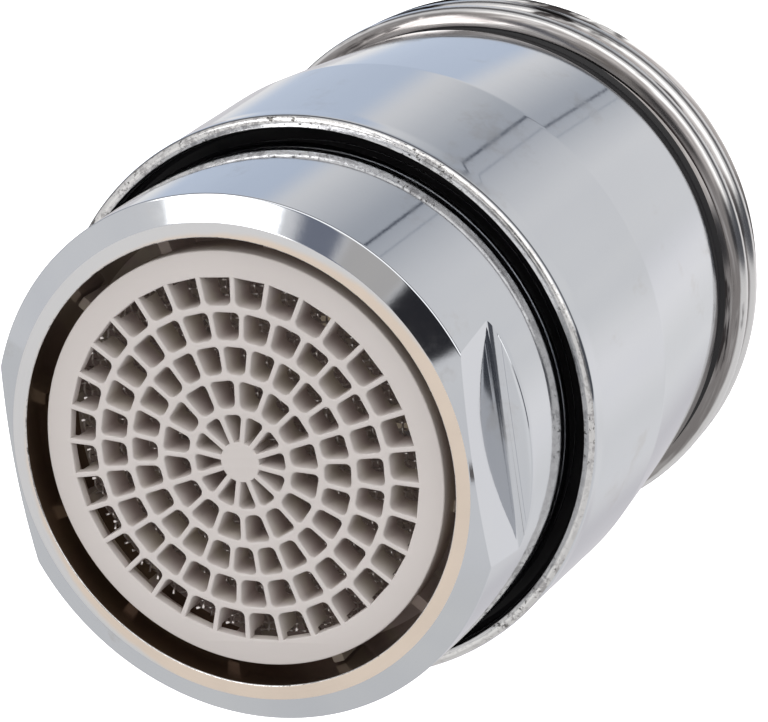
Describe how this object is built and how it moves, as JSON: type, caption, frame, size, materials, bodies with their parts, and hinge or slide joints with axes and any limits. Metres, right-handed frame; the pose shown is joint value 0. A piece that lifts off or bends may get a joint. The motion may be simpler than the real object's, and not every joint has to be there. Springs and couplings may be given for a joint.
{
  "type": "tap aerator",
  "caption": "Chromed swivel tap aerator: a threaded sleeve holds a ball that carries an outlet cap with spanner flats and a plastic grid insert.",
  "frame": {"origin": "middle of the inlet gasket's lower face", "axes": "+Z along the bore, from the inlet to the outlet lip; +X and -X face the cap's spanner flats"},
  "size_m": [0.024, 0.024, 0.0291],
  "materials": {
    "chrome": "polished chrome on brass, the cap's lip bare",
    "brass": "turned brass",
    "rubber": "matt black",
    "slip_plastic": "smooth black",
    "grid_plastic": "warm light grey moulding",
    "gauze_steel": "woven wire"
  },
  "bodies": {
    "sleeve": {"threaded_sleeve": "chrome", "inlet_gasket": "rubber", "retaining_bush": "brass", "ball_seal": "rubber"},
    "slip_ring": {"slip_ring": "slip_plastic"},
    "outlet_head": {"swivel_ball": "chrome", "outlet_cap": "chrome", "cap_gasket": "rubber", "insert_body": "grid_plastic", "gauze_screen": "gauze_steel", "outlet_grid": "grid_plastic"}
  },
  "joints": [
    {"name": "turn", "type": "hinge", "parent": "sleeve", "child": "slip_ring", "pos_m": [0, 0, 0.0178], "axis": [0, 0, 1], "continuous": true},
    {"name": "tilt", "type": "hinge", "parent": "slip_ring", "child": "outlet_head", "pos_m": [0, 0, 0.0178], "axis": [1, 0, 0], "range_deg": [-5, 5]}
  ]
}
